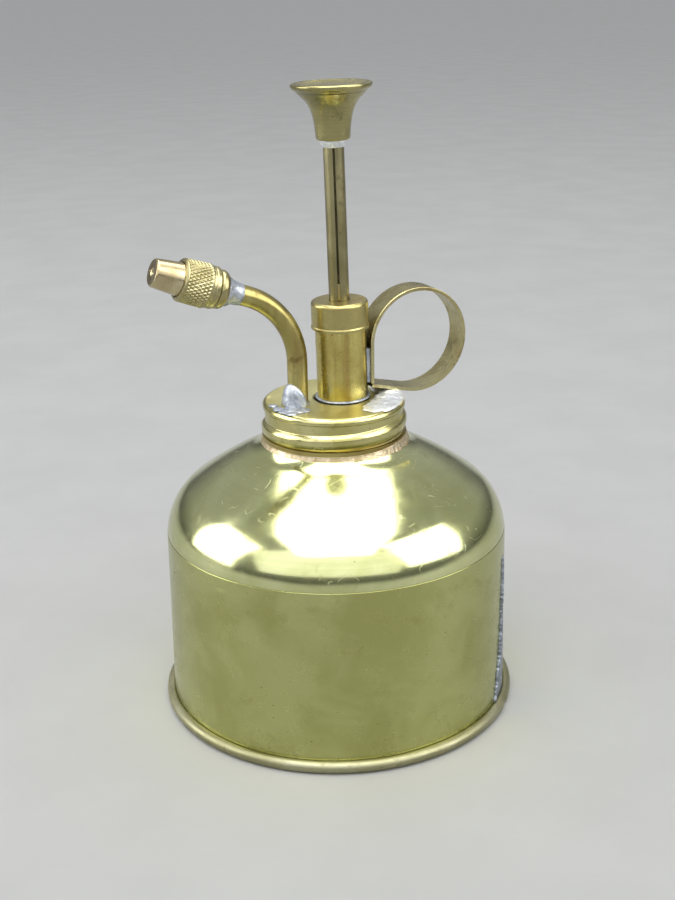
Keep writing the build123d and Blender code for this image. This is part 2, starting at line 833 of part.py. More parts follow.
# ================================================================= finger ring
tail = radians(ring_tail_rise)
ring_turn = 270 + ring_tail_rise
with BuildPart() as finger_ring:
    with BuildSketch(section):
        with BuildLine():
            leg = Line((ring_leg_x, ring_leg_foot), (ring_leg_x, ring_z))
            loop = CenterArc((ring_x, ring_z), ring_radius, 180, -ring_turn)
            tail_run = (loop @ 1).X - ring_tail_x
            outer_tail = Line(loop @ 1, (ring_tail_x, (loop @ 1).Y + tail_run * tan(tail)))
            inner_loop = CenterArc((ring_x, ring_z), ring_radius - ring_strip, 180, -ring_turn)
            inner_tail = Line(
                inner_loop @ 1,
                inner_loop @ 1 + ((outer_tail @ 1) - (outer_tail @ 0)),
            )
            Line(outer_tail @ 1, inner_tail @ 1)
            inner_leg = Line((ring_leg_x + ring_strip, ring_z), (ring_leg_x + ring_strip, ring_leg_foot))
            Line(inner_leg @ 1, leg @ 0)
        make_face()
    extrude(amount=ring_width / 2, both=True)
    fillet(finger_ring.edges().filter_by(GeomType.CIRCLE).sort_by(SortBy.RADIUS)[-2:], radius=0.15)
finger_ring.part.label = "finger_ring"

# ================================================================= solder on the cap
with BuildPart() as spout_solder:
    with BuildSketch(Plane((spout_x, 0, 0), x_dir=(1, 0, 0), z_dir=(0, -1, 0))):
        with BuildLine():
            foot = Line((tube_radius + 0.02, cap_top + 0.02), (4.7, cap_top + 0.02))
            climb = Line(foot @ 0, (tube_radius + 0.02, cap_top + 5.2))
            TangentArc(climb @ 1, foot @ 1, tangent=(0, -1))
        make_face()
    revolve(axis=spout_axis)
spout_solder.part.label = "spout_solder"

# low ring of solder that holds the barrel in the cap
with BuildPart() as barrel_solder:
    with BuildSketch(Plane.XY.offset(cap_top + 0.02)):
        with Locations((pump_x, 0)):
            Circle(barrel_solder_radius)
    extrude(amount=barrel_solder_height)
    fillet(barrel_solder.edges().sort_by(Axis.Z)[-1], radius=0.3)
    with BuildSketch(pump_plane):
        Circle(barrel_radius + 0.02)
    extrude(amount=2, both=True, mode=Mode.SUBTRACT)
barrel_solder.part.label = "barrel_solder"

# wedge of solder under the tail of the finger ring
with BuildPart() as ring_solder:
    wedge_near = 11.4
    wedge_far = 15.6
    ring_touch = ring_z - ring_radius * cos(tail)
    touch_x = ring_x - ring_radius * sin(tail)
    with BuildSketch(section):
        with BuildLine():
            Polyline(
                (wedge_near, cap_top + 0.02),
                (wedge_far, cap_top + 0.02),
                (wedge_far, ring_touch + (touch_x - wedge_far) * tan(tail) - 0.03),
                (wedge_near, ring_touch + (touch_x - wedge_near) * tan(tail) - 0.03),
                close=True,
            )
        make_face()
    extrude(amount=4.6, both=True)
    chamfer(ring_solder.edges().filter_by(Axis.Z).sort_by(Axis.X)[:2], length=0.8)
ring_solder.part.label = "ring_solder"

# solder that fills the corners between the barrel and the flat leg of the ring
with BuildPart() as leg_solder:
    with BuildSketch(Plane.XY.offset(ring_leg_foot + 0.3)):
        with Locations((ring_leg_x - 0.62, 0)):
            Rectangle(1.2, 5.4)
    extrude(amount=ring_z - ring_leg_foot - 1)
    with BuildSketch(pump_plane):
        Circle(barrel_radius + 0.02)
    extrude(amount=barrel_cap_low, mode=Mode.SUBTRACT)
leg_solder.part.label = "leg_solder"

# ================================================================= write the parts
pieces = [
    reservoir_wall,
    reservoir_dome,
    base_plate,
    neck_collar,
    neck_solder,
    seam_solder,
    cap_washer,
    screw_cap,
    pump_barrel,
    barrel_cap,
    plunger_rod,
    thumb_knob,
    knob_solder,
    piston_carrier,
    leather_cup,
    piston_washer,
    piston_nut,
    return_spring,
    foot_valve_body,
    inlet_pin,
    outlet_pin,
    passage_plug,
    inlet_ball,
    outlet_ball,
    suction_tube,
    strainer,
    delivery_tube,
    nozzle_adapter,
    nozzle_solder,
    nozzle_washer,
    nozzle_tip,
    swirl_core,
    nozzle_nut,
    finger_ring,
    spout_solder,
    barrel_solder,
    ring_solder,
    leg_solder,
]
os.makedirs("parts", exist_ok=True)
for piece in pieces:
    export_step(piece.part, f"parts/{piece.part.label}.step")
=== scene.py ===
import json
import math

import bpy
from mathutils import Matrix, Vector, noise


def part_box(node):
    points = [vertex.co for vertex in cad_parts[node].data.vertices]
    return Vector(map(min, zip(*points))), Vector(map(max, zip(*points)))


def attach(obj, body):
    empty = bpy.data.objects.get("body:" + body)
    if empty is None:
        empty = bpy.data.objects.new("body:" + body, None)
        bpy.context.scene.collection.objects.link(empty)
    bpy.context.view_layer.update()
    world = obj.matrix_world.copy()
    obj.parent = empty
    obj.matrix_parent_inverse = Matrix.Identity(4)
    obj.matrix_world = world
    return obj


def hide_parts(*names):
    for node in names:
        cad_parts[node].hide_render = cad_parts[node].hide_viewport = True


# Looks for a vintage brass plant mister. Pieces are built in millimetres, in the place
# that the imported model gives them, and written to the scene in metres.
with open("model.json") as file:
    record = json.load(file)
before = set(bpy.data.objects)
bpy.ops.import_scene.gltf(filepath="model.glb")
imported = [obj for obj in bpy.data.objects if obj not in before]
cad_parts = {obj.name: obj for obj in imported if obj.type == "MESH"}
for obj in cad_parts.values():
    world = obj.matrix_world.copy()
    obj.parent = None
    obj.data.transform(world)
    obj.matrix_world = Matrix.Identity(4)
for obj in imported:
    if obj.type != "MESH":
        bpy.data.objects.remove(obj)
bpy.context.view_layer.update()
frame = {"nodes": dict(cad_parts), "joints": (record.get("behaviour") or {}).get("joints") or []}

scene = bpy.context.scene
scene.view_settings.view_transform = "Standard"
MM = 0.001


# ---------------------------------------------------------------- places in the frame
def millimetres(node):
    """Lowest and highest corner of a CAD node, in millimetres."""
    low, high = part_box(node)
    return low / MM, high / MM


def joint(name):
    return next(j for j in frame["joints"] if j["name"] == name)


def place(origin, along, across=Vector((1, 0, 0))):
    """Matrix from local millimetres to the frame, with local z on an axis."""
    z = along.normalized()
    x = (across - z * across.dot(z)).normalized()
    turn = Matrix((x, z.cross(x), z)).transposed().to_4x4()
    return Matrix.Translation(origin * MM) @ turn @ Matrix.Scale(MM, 4)


UP = Vector((0, 0, 1))
wall_low, wall_high = millimetres("reservoir_wall")
throat_top = millimetres("reservoir_dome")[1].z
cap_low, cap_high = millimetres("screw_cap")
wall_radius = wall_high.x
wall_top = wall_high.z
cap_top = cap_high.z

can = place(Vector((0, 0, 0)), UP)
cap_face = can @ Matrix.Translation((0, 0, cap_top))
pump_up = -Vector(joint("plunger_press")["axis"])
barrel_low, barrel_high = millimetres("pump_barrel")
barrel_middle = (barrel_low + barrel_high) / 2
pump_foot = barrel_middle + pump_up * ((cap_top - barrel_middle.z) / pump_up.z)
pump = place(pump_foot, pump_up)
nozzle_ahead = Vector(joint("nozzle_advance")["axis"])
nozzle_face = Vector(joint("nozzle_turn")["pos_m"]) / MM
nozzle = place(nozzle_face, nozzle_ahead, UP)
spout_low, spout_high = millimetres("spout_solder")
spout_foot = Vector(((spout_low.x + spout_high.x) / 2, 0, cap_top))
spout = place(spout_foot, UP)


# ---------------------------------------------------------------- mesh helpers
def grain(point, size, seed=0.0):
    """Smooth noise from -1 to 1 whose features have that size in millimetres."""
    return noise.noise(Vector(point) / size + Vector((seed, seed * 1.7, seed * 0.6)))


def on_circle(azimuth, radius, h):
    turn = math.radians(azimuth)
    return Vector((radius * math.cos(turn), radius * math.sin(turn), h))


def smooth_step(low, high, value):
    t = min(1.0, max(0.0, (value - low) / (high - low)))
    return t * t * (3 - 2 * t)


def rounded(corners, step=1.0, arc=6):
    """Outline through corners (r, h) or (r, h, round), divided into short runs."""
    points = []
    for i, corner in enumerate(corners):
        p = Vector(corner[:2])
        reach = corner[2] if len(corner) == 3 else 0
        if not reach:
            points.append(p)
            continue
        a = p + (Vector(corners[i - 1][:2]) - p).normalized() * reach
        b = p + (Vector(corners[i + 1][:2]) - p).normalized() * reach
        for k in range(arc + 1):
            t = k / arc
            points.append(a * (1 - t) ** 2 + p * 2 * t * (1 - t) + b * t ** 2)
    outline = [points[0]]
    for p in points[1:]:
        runs = max(1, math.ceil((p - outline[-1]).length / step))
        start = outline[-1]
        outline += [start.lerp(p, (k + 1) / runs) for k in range(runs)]
    return outline


def piece(name, vertices, faces, where, material):
    """Mesh object from local millimetres, smooth shaded, with one material."""
    mesh = bpy.data.meshes.new(name)
    mesh.from_pydata([where @ Vector(v) for v in vertices], [], faces)
    mesh.validate()
    made = bpy.data.objects.new(name, mesh)
    scene.collection.objects.link(made)
    mesh.materials.append(material)
    mesh.polygons.foreach_set("use_smooth", [True] * len(mesh.polygons))
    mesh.update()
    return made


def surface(grid, closed):
    """Vertices and faces of rows of points; closed joins the last column to the first."""
    rows, columns = len(grid), len(grid[0])
    faces = []
    for r in range(rows - 1):
        for c in range(columns if closed else columns - 1):
            d = (c + 1) % columns
            faces.append((r * columns + c, r * columns + d, (r + 1) * columns + d, (r + 1) * columns + c))
    return [p for row in grid for p in row], faces


def lathe(name, outline, where, material, columns=256, shape=None):
    """Turned surface; shape(azimuth in degrees, r, h) may return another (r, h)."""
    grid = []
    for r, h in outline:
        row = []
        for c in range(columns):
            azimuth = 360 * c / columns
            row.append(on_circle(azimuth, *(shape(azimuth, r, h) if shape and r > 0 else (r, h))))
        grid.append(row)
    return piece(name, *surface(grid, True), where, material)


def joined(*parts):
    """One object made of several that share a material."""
    with bpy.context.temp_override(active_object=parts[0], selected_editable_objects=list(parts)):
        bpy.ops.object.join()
    return parts[0]


def puddle(name, blobs, where, material, seed, limit):
    """Run of solder on a flat face: blobs are (x, y, radius, height), with ragged edges.

    limit(x, y) is the most height that there is room for.
    """
    foot, cell, edge, reach = 0.03, 0.14, 0.45, 1.25
    low_x = min(b[0] - b[2] * reach for b in blobs)
    low_y = min(b[1] - b[2] * reach for b in blobs)
    across = math.ceil((max(b[0] + b[2] * reach for b in blobs) - low_x) / cell)
    deep = math.ceil((max(b[1] + b[2] * reach for b in blobs) - low_y) / cell)

    def height(x, y):
        ragged = edge * grain((x, y, 0), 1.3, seed) + 0.4 * edge * grain((x, y, 0), 0.5, seed)
        top = -1.0
        for bx, by, radius, tall in blobs:
            rim = 1 - (math.hypot(x - bx, y - by) / (radius + ragged)) ** 2
            if rim > -0.15:
                top = max(top, tall * math.copysign(abs(rim) ** 0.55, rim))
        if top > 0:
            top *= 1 + 0.16 * grain((x, y, 5), 1.6, seed) + 0.07 * grain((x, y, 9), 0.6, seed)
        return min(top, limit(x, y))

    grid = []
    for j in range(deep + 1):
        y = low_y + j * cell
        grid.append([(low_x + i * cell, y, height(low_x + i * cell, y)) for i in range(across + 1)])
    vertices, faces = surface(grid, False)
    kept = [f for f in faces if sum(vertices[v][2] > 0 for v in f) >= 2]
    used = sorted({v for f in kept for v in f})
    index = {v: i for i, v in enumerate(used)}
    points = [(vertices[v][0], vertices[v][1], foot + max(0.0, vertices[v][2])) for v in used]
    return piece(name, points, [tuple(index[v] for v in f) for f in kept], where, material)


def stand_for(made, body, slot, *nodes):
    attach(made, body)
    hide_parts(*nodes)
    return made


# ---------------------------------------------------------------- materials
class Graph:
    """A material's node graph, with short calls for the nodes that the metals use."""

    def __init__(self, name, where=None):
        self.material = bpy.data.materials.new(name)
        self.material.use_nodes = True
        self.tree = self.material.node_tree
        self.shader = self.tree.nodes["Principled BSDF"]
        self.point = self.add("ShaderNodeTexCoord").outputs["Object"]
        if where is not None:
            turn = where.decompose()[1]
            into = turn.to_matrix().transposed().to_4x4() @ Matrix.Translation(-where.translation)
            shift, spin = into.decompose()[:2]
            self.point = self.add(
                "ShaderNodeMapping", Vector=self.point, Location=shift, Rotation=spin.to_euler(),
            ).outputs["Vector"]

    def add(self, kind, settings=None, **inputs):
        made = self.tree.nodes.new(kind)
        for key, value in (settings or {}).items():
            setattr(made, key, value)
        for key, value in inputs.items():
            self.feed(made.inputs[key.replace("_", " ")], value)
        return made

    def feed(self, socket, value):
        if isinstance(value, bpy.types.NodeSocket):
            self.tree.links.new(value, socket)
        elif isinstance(value, tuple) and len(value) == 3 and socket.type == "RGBA":
            socket.default_value = (*value, 1)
        else:
            socket.default_value = value

    def sum(self, operation, a, b=0.0, clamp=False):
        made = self.add("ShaderNodeMath", {"operation": operation, "use_clamp": clamp})
        self.feed(made.inputs[0], a)
        self.feed(made.inputs[1], b)
        return made.outputs[0]

    def noise(self, size, stretch=(1, 1, 1), detail=3.0, rough=0.55, warp=0.0, shift=0.0, point=None):
        """Noise from 0 to 1 whose features have that size in millimetres."""
        scaled = self.add("ShaderNodeVectorMath", {"operation": "MULTIPLY_ADD"})
        self.feed(scaled.inputs[0], point or self.point)
        scaled.inputs[1].default_value = tuple(s / (size * MM) for s in stretch)
        scaled.inputs[2].default_value = (shift, shift * 2, shift * 3)
        return self.add(
            "ShaderNodeTexNoise", Vector=scaled.outputs[0], Scale=1.0, Detail=detail, Roughness=rough,
            Distortion=warp,
        ).outputs["Fac"]

    def turned(self, size, shift=0.0):
        """Fine rings round the local z axis, as a lathe or a spinning tool leaves them."""
        axes = self.add("ShaderNodeSeparateXYZ", Vector=self.point)
        x, y, z = axes.outputs
        flat = self.sum("SQRT", self.sum("ADD", self.sum("MULTIPLY", x, x), self.sum("MULTIPLY", y, y)))
        ring = self.add("ShaderNodeCombineXYZ", X=flat, Z=z).outputs[0]
        return self.noise(size, detail=2.0, shift=shift, point=ring)

    def band(self, value, low, high, start=0.0, end=1.0):
        return self.add(
            "ShaderNodeMapRange", {"interpolation_type": "SMOOTHSTEP"}, Value=value, From_Min=low,
            From_Max=high, To_Min=start, To_Max=end,
        ).outputs["Result"]

    def mix(self, factor, a, b, blend="MIX"):
        made = self.add("ShaderNodeMix", {"data_type": "RGBA", "blend_type": blend})
        for socket, value in zip([made.inputs[0], made.inputs[6], made.inputs[7]], [factor, a, b]):
            self.feed(socket, value)
        return made.outputs[2]

    def lines(self, size, stretch, width, shift):
        """Thin broken lines, such as scratches: 1 on a line and 0 off it."""
        away = self.sum("ABSOLUTE", self.sum("SUBTRACT", self.noise(size, stretch, 1.0, shift=shift), 0.5))
        line = self.band(away, width * 0.4, width, 1.0, 0.0)
        broken = self.band(self.noise(size * 0.45, detail=1.0, shift=shift + 3), 0.54, 0.6)
        return self.sum("MULTIPLY", line, broken)

    def specks(self, spacing, reach, share, shift=0.0):
        """Small round spots in a share of cells of that spacing, in millimetres."""
        scaled = self.add("ShaderNodeVectorMath", {"operation": "MULTIPLY_ADD"})
        self.feed(scaled.inputs[0], self.point)
        scaled.inputs[1].default_value = (1 / (spacing * MM),) * 3
        scaled.inputs[2].default_value = (shift, shift, shift)
        cells = self.add("ShaderNodeTexVoronoi", Vector=scaled.outputs[0], Scale=1.0)
        chosen = self.band(self.add("ShaderNodeSeparateColor", Color=cells.outputs["Color"]).outputs[0],
                           1 - share, 1 - share + 0.01)
        spot = self.band(cells.outputs["Distance"], reach * 0.5 / spacing, reach / spacing, 1.0, 0.0)
        return self.sum("MULTIPLY", chosen, spot)

    def finish(self, color, roughness, height=None, depth=0.02, metallic=1.0):
        self.feed(self.shader.inputs["Base Color"], color)
        self.feed(self.shader.inputs["Roughness"], roughness)
        self.feed(self.shader.inputs["Metallic"], metallic)
        if height is not None:
            bump = self.add("ShaderNodeBump", Height=height, Distance=depth * MM, Strength=1.0)
            self.feed(self.shader.inputs["Normal"], bump.outputs[0])
        return self.material


def brass(name, bright, deep, stain, roughness, where=None, rings=0.0, drawn=0.0, patina=0.5, spots=0.25,
          depth=0.02, shift=0.0, face=None):
    """Old brass: two tones in soft clouds, stains, specks, scratches and tool marks.

    rings, drawn, patina and spots are strengths from 0 to 1. depth is the bump's height in
    millimetres. face is the roughness of level faces, where use has dulled them.
    """
    cloud_size, wear_size, fine_size, ring_size, streak_size = 17, 5.5, 0.5, 0.28, 2.2    # millimetres
    g = Graph(name, where)
    clouds = g.noise(cloud_size, detail=4.0, warp=0.6, shift=shift)
    color = g.mix(g.band(clouds, 0.36, 0.66), deep, bright)
    worn = g.noise(wear_size, detail=5.0, rough=0.65, warp=0.4, shift=shift + 7)
    stained = g.sum("MULTIPLY", g.band(worn, 0.56, 0.74), patina)
    color = g.mix(stained, color, stain)
    fine = g.noise(fine_size, detail=4.0, shift=shift + 2)
    height = g.sum("MULTIPLY", fine, 0.12)
    rough = g.band(worn, 0.4, 0.75, roughness * 0.85, roughness * 1.35)
    if face:
        normal = g.add("ShaderNodeSeparateXYZ", Vector=g.add("ShaderNodeNewGeometry").outputs["Normal"])
        level = g.band(normal.outputs["Z"], 0.9, 0.99, 0.0, face - roughness)
        rough = g.sum("ADD", rough, level)
    if rings:
        marks = g.turned(ring_size, shift)
        height = g.sum("ADD", height, g.sum("MULTIPLY", marks, rings))
        color = g.mix(g.band(marks, 0.35, 0.7, 0.0, 0.16), color, stain)
    if drawn:
        marks = g.noise(fine_size, (1, 1, 0.02), 3.0, shift=shift)
        broad = g.noise(streak_size, (1, 1, 0.06), 3.0, shift=shift + 4)
        height = g.sum("ADD", height, g.sum("MULTIPLY", marks, drawn))
        color = g.mix(g.band(broad, 0.45, 0.72, 0.0, 0.45), color, stain)
    scratch = g.sum(
        "MAXIMUM",
        g.lines(9, (1.0, 0.5, 2.2), 0.006, shift + 11),
        g.lines(7, (0.6, 2.0, 1.0), 0.005, shift + 15),
    )
    height = g.sum("SUBTRACT", height, g.sum("MULTIPLY", scratch, 0.25))
    rough = g.sum("ADD", rough, g.sum("MULTIPLY", scratch, 0.15))
    speck = g.sum("MULTIPLY", g.specks(1.7, 0.2, spots, shift), 0.75)
    color = g.mix(speck, color, tuple(0.3 * c for c in stain))
    height = g.sum("SUBTRACT", height, g.sum("MULTIPLY", speck, 0.5))
    rough = g.sum("ADD", rough, g.sum("MULTIPLY", speck, 0.3))
    return g.finish(color, rough, height, depth)


def solder(name, bright, dull, roughness=0.36, shift=0.0):
    """Soft solder: bright silvery runs, duller oxidised hollows and fine pits."""
    g = Graph(name)
    clouds = g.noise(2.6, detail=5.0, rough=0.6, warp=0.8, shift=shift)
    color = g.mix(g.band(clouds, 0.35, 0.65), dull, bright)
    fine = g.noise(0.35, detail=4.0, shift=shift + 3)
    pits = g.specks(0.7, 0.16, 0.3, shift)
    color = g.mix(g.sum("MULTIPLY", pits, 0.6), color, tuple(0.3 * c for c in dull))
    height = g.sum("ADD", g.sum("MULTIPLY", clouds, 1.2), g.sum("MULTIPLY", fine, 0.3))
    height = g.sum("SUBTRACT", height, g.sum("MULTIPLY", pits, 0.4))
    return g.finish(color, g.band(clouds, 0.3, 0.7, roughness * 1.4, roughness * 0.8), height, 0.12)


BROWN = (0.16, 0.12, 0.045)

# The wall's brass is a darker copy of the dome's brass. Its base colour is lowered as painted shade,
# standing in for the reflection of a dark floor.
wall_brass_painted_dark_reflection = brass(
    "wall_brass_painted_dark_reflection", (0.44, 0.45, 0.19), (0.36, 0.365, 0.135), (0.22, 0.20, 0.075), 0.24,
    patina=0.3, spots=0.08, depth=0.010)
dome_brass = brass(
    "dome_brass", (0.60, 0.62, 0.33), (0.50, 0.52, 0.24), (0.34, 0.32, 0.12), 0.15,
    rings=0.05, spots=0.12, patina=0.4, depth=0.012, shift=3)
# The bead's base colour is lowered as painted shade, dimming its reflections of the lamps. Its dark stains
# and patina are its own.
bead_brass_painted_shade = brass(
    "bead_brass_painted_shade", (0.33, 0.32, 0.21), (0.26, 0.25, 0.14), (0.12, 0.095, 0.045), 0.46,
    patina=0.7, shift=5)
cap_brass = brass(
    "cap_brass", (0.62, 0.58, 0.29), (0.46, 0.42, 0.16), (0.20, 0.15, 0.055), 0.22,
    rings=0.12, patina=0.5, shift=8, face=0.42)
barrel_brass = brass(
    "barrel_brass", (0.56, 0.49, 0.17), (0.40, 0.33, 0.09), (0.24, 0.13, 0.035), 0.28,
    drawn=0.15, patina=0.8, shift=12)
barrel_cap_brass = brass(
    "barrel_cap_brass", (0.42, 0.37, 0.15), (0.34, 0.27, 0.11), (0.20, 0.13, 0.055), 0.33,
    rings=0.15, patina=0.8, shift=15)
rod_brass = brass(
    "rod_brass", (0.32, 0.29, 0.16), (0.22, 0.195, 0.095), (0.09, 0.075, 0.04), 0.36,
    drawn=0.25, patina=0.8, shift=18)
knob_brass = brass(
    "knob_brass", (0.46, 0.41, 0.19), (0.24, 0.22, 0.095), (0.10, 0.09, 0.04), 0.26, pump,
    rings=0.3, patina=0.8, shift=21)
ring_brass = brass(
    "ring_brass", (0.44, 0.40, 0.21), (0.30, 0.25, 0.11), (0.18, 0.12, 0.05), 0.30,
    patina=0.8, shift=24)
tube_brass = brass(
    "tube_brass", (0.42, 0.37, 0.14), (0.30, 0.25, 0.085), (0.17, 0.11, 0.04), 0.33,
    drawn=0.10, patina=0.8, shift=27)
nut_brass = brass(
    "nut_brass", (0.48, 0.44, 0.25), (0.33, 0.29, 0.14), (0.12, 0.09, 0.04), 0.30, nozzle,
    rings=0.1, patina=0.6, shift=30)
tip_brass = brass(
    "tip_brass", (0.62, 0.55, 0.37), (0.42, 0.35, 0.20), (0.24, 0.17, 0.08), 0.24, nozzle,
    rings=0.3, patina=0.5, shift=33)
neck_brass = brass(
    "neck_brass", (0.40, 0.34, 0.13), (0.24, 0.18, 0.06), (0.10, 0.07, 0.03), 0.35, shift=39)
inner_brass = brass(
    "inner_brass", (0.55, 0.46, 0.20), (0.42, 0.34, 0.13), BROWN, 0.3, shift=36)
bright_solder = solder("bright_solder", (0.88, 0.90, 0.91), (0.60, 0.62, 0.64), 0.42)
blue_solder = solder("blue_solder", (0.46, 0.485, 0.525), (0.24, 0.265, 0.305), 0.45, 4)
seam_grey = solder("seam_grey", (0.34, 0.37, 0.42), (0.16, 0.18, 0.21), 0.42, 8)
pink_solder = solder("pink_solder", (0.56, 0.47, 0.33), (0.32, 0.26, 0.14), 0.40, 12)


def steel():
    g = Graph("steel_wire")
    worn = g.noise(3, detail=4.0)
    color = g.mix(g.band(worn, 0.4, 0.7), (0.62, 0.62, 0.61), (0.35, 0.33, 0.30))
    return g.finish(color, g.band(worn, 0.3, 0.7, 0.2, 0.4), g.noise(0.3), 0.01)


def leather():
    g = Graph("oiled_leather")
    pores = g.specks(0.5, 0.2, 0.8)
    clouds = g.noise(3, detail=4.0)
    color = g.mix(g.band(clouds, 0.35, 0.7), (0.16, 0.075, 0.03), (0.30, 0.16, 0.07))
    height = g.sum("SUBTRACT", clouds, g.sum("MULTIPLY", pores, 0.5))
    return g.finish(color, 0.6, height, 0.08, 0.0)


def fibre():
    g = Graph("red_fibre")
    strands = g.noise(0.6, (1, 0.25, 1), 4.0)
    return g.finish(g.mix(strands, (0.30, 0.05, 0.03), (0.42, 0.12, 0.07)), 0.55, strands, 0.03, 0.0)


# ---------------------------------------------------------------- water can
lap_azimuth = -44.0              # where the wall's sheet laps over itself
seam_azimuth = -40.0             # line that the solder's edges are measured from


def wall_shape(azimuth, r, h):
    """Slightly uneven sheet: broad dents, and ripples that run up the wall."""
    on_wall = on_circle(azimuth, 40, h)
    broad = 0.06 * grain(on_wall, 17, 2)
    upright = 0.03 * grain((on_wall.x, on_wall.y, h * 0.15), 5, 4)
    fade = smooth_step(0, 5, h) * (1 - smooth_step(wall_top - 2, wall_top, h))
    return r - 0.06 + (broad + upright) * fade, h


sheet = 0.5
brow_radius = wall_radius - 0.5
brow = wall_top - 0.9            # height where the wall starts to follow the dome
lip_radius = brow_radius - 0.05
wall_outline = rounded([
    (wall_radius - sheet, wall_low.z),
    (wall_radius, wall_low.z, 0.1),
    (brow_radius, brow, 0.6),
    (lip_radius, wall_top, 0.12),
    (lip_radius - sheet, wall_top, 0.1),
    (brow_radius - sheet, brow),
    (wall_radius - sheet, wall_low.z),
], step=0.8)
stand_for(lathe("can_wall", wall_outline, can, wall_brass_painted_dark_reflection, 512, wall_shape), "reservoir", "polished_brass",
          "reservoir_wall")


def arc(centre_r, centre_h, radius, start, end, steps=24):
    """Points on an arc of the outline, from one angle to another, in degrees above level."""
    angles = [math.radians(start + (end - start) * k / steps) for k in range(steps + 1)]
    return [Vector((centre_r + radius * math.cos(a), centre_h + radius * math.sin(a))) for a in angles]


# dome: a shoulder arc, a flatter crown and a hollow flare that rises to the neck's flange
shoulder_radius, crown_radius, flare_radius = 13.95, 81.0, 7.0
shoulder_turn = 53.1
dome_radius = brow_radius - 0.12
shoulder_foot = brow
shoulder_r = dome_radius - shoulder_radius
stretch = shoulder_radius - crown_radius
crown_r = shoulder_r + stretch * math.cos(math.radians(shoulder_turn))
crown_h = shoulder_foot + stretch * math.sin(math.radians(shoulder_turn))
flare_r = 16.1 + flare_radius
crown_end = math.degrees(math.acos((flare_r - crown_r) / (crown_radius + flare_radius)))
flare_h = crown_h + (crown_radius + flare_radius) * math.sin(math.radians(crown_end))
flare_end = math.degrees(math.asin((flare_h - throat_top) / flare_radius))
joint_turn = math.degrees(math.asin((wall_top - shoulder_foot) / shoulder_radius))
dimple_at, dimple_reach, dimple_depth = Vector((-24, -20, 58)), 7, 0.10


def dome_shape(azimuth, r, h):
    """Hand-worn dome: very shallow dents, a little deeper on the side towards the spout."""
    at = on_circle(azimuth, r, h)
    dent = 0.05 * grain(at, 13, 6) + 0.02 * grain(at, 6, 8)
    dimple = dimple_depth * max(0.0, 1 - (at - dimple_at).length / dimple_reach) ** 2
    fade = smooth_step(wall_top, wall_top + 3, h) * (1 - smooth_step(62, 64, h))
    return r - (0.03 + dent + dimple) * fade, h


dome_outline = [
    Vector((dome_radius - 0.9, wall_top - 3)),
    Vector((dome_radius - 0.9, wall_top - 0.5)),
    *arc(shoulder_r, shoulder_foot, shoulder_radius, joint_turn + 0.3, shoulder_turn, 40),
    *arc(crown_r, crown_h, crown_radius, shoulder_turn, crown_end, 30)[1:],
    *arc(flare_r, flare_h, flare_radius, crown_end + 180, flare_end + 180, 24)[1:],
    *arc(flare_r, flare_h, flare_radius + sheet, flare_end + 180, crown_end + 180, 8),
]
stand_for(lathe("can_dome", dome_outline, can, dome_brass, 512, dome_shape), "reservoir", "polished_brass",
          "reservoir_dome")


# base: bead rolled up round the wall's foot
bead_edge = millimetres("base_plate")[1].x
bead_round = 1.4
bead_r = bead_edge - bead_round
land_r = wall_radius - 2 * sheet - 0.1
floor_height = 3.0
foot_r = wall_radius + 0.12
tuck_h = 1.7                     # height where the sheet passes under the wall's foot


def bead_shape(azimuth, r, h):
    """A hand-rolled bead isn't quite even, and is creased at the lap."""
    on_rim = on_circle(azimuth, 42, 0)
    crease = math.exp(-((azimuth - 360 - lap_azimuth) / 1.6) ** 2)
    swell = smooth_step(wall_radius, bead_edge, r)
    uneven = 0.06 * grain(on_rim, 9, 5) if h > 1.2 else 0.0
    return r - (0.05 + 0.05 * grain(on_rim, 7, 3) + 0.35 * crease) * swell, h + uneven


bead_outline = [
    Vector((foot_r, tuck_h)),
    Vector((foot_r - 0.02, 2.45)),
    *arc(bead_r, bead_round, bead_round, 112, -90, 36),
    Vector((land_r + 0.6, 0)),
    *arc(land_r + 0.6, 0.6, 0.6, -90, -180, 8),
    *rounded([(land_r, 0.6), (land_r, floor_height, 0.6), (0, floor_height)], 2.5)[1:],
    *rounded([(0, floor_height + sheet), (land_r + 0.45, floor_height + sheet, 0.8),
              (land_r + 0.45, tuck_h), (foot_r, tuck_h)], 2.5),
]
stand_for(lathe("can_base", bead_outline, can, bead_brass_painted_shade, 384, bead_shape), "reservoir", "polished_brass",
          "base_plate")


# solder in the corner under the neck's flange, with pinkish crumbs on one side
flange_h = 66.0                  # underside of the flange
crumb_azimuth, crumb_spread = 318, 34


def crumbs(azimuth, r, h):
    spot = on_circle(azimuth, 17, h)
    side = math.exp(-(((azimuth - crumb_azimuth + 180) % 360 - 180) / crumb_spread) ** 2)
    lumps = 0.5 + 0.6 * grain(spot, 0.8, 4) + 0.4 * grain(spot, 0.3, 9)
    climb = smooth_step(flange_h - 0.8, flange_h - 0.05, h)
    if r < 16.95 and h < flange_h - 0.03:
        return r, h
    out = side * (0.05 + 0.4 * lumps * (1 - 0.7 * climb))
    up = side * (0.75 * climb - 0.2 * lumps * (1 - climb))
    return r + out, h + up


flare_at = flare_h - math.sqrt(flare_radius ** 2 - (flare_r - 17.5) ** 2)
neck_outline = rounded([
    (16.4, flange_h - 0.5), (16.9, flange_h - 0.3), (17.3, flare_at + 0.1), (17.48, flare_at + 0.02),
    (17.35, flare_at + 0.25, 0.12), (17.08, flange_h - 0.25, 0.15), (17.02, flange_h + 0.02, 0.06),
    (16.6, flange_h + 0.05),
], 0.1)
stand_for(lathe("neck_crumbs", neck_outline, can, pink_solder, 900, crumbs), "reservoir", "solder",
          "neck_solder")


# solder smeared over the wall's lap: ragged raised lip in front, thin smear behind
# points: share of its height, then front and back edge in millimetres round the wall
seam_low, seam_high = 2.6, 38.6
seam_points = [(0.0, -6.6, 4.6), (0.3, -3.0, 5.4), (0.6, -1.3, 2.4), (1.0, 0.3, 1.9)]


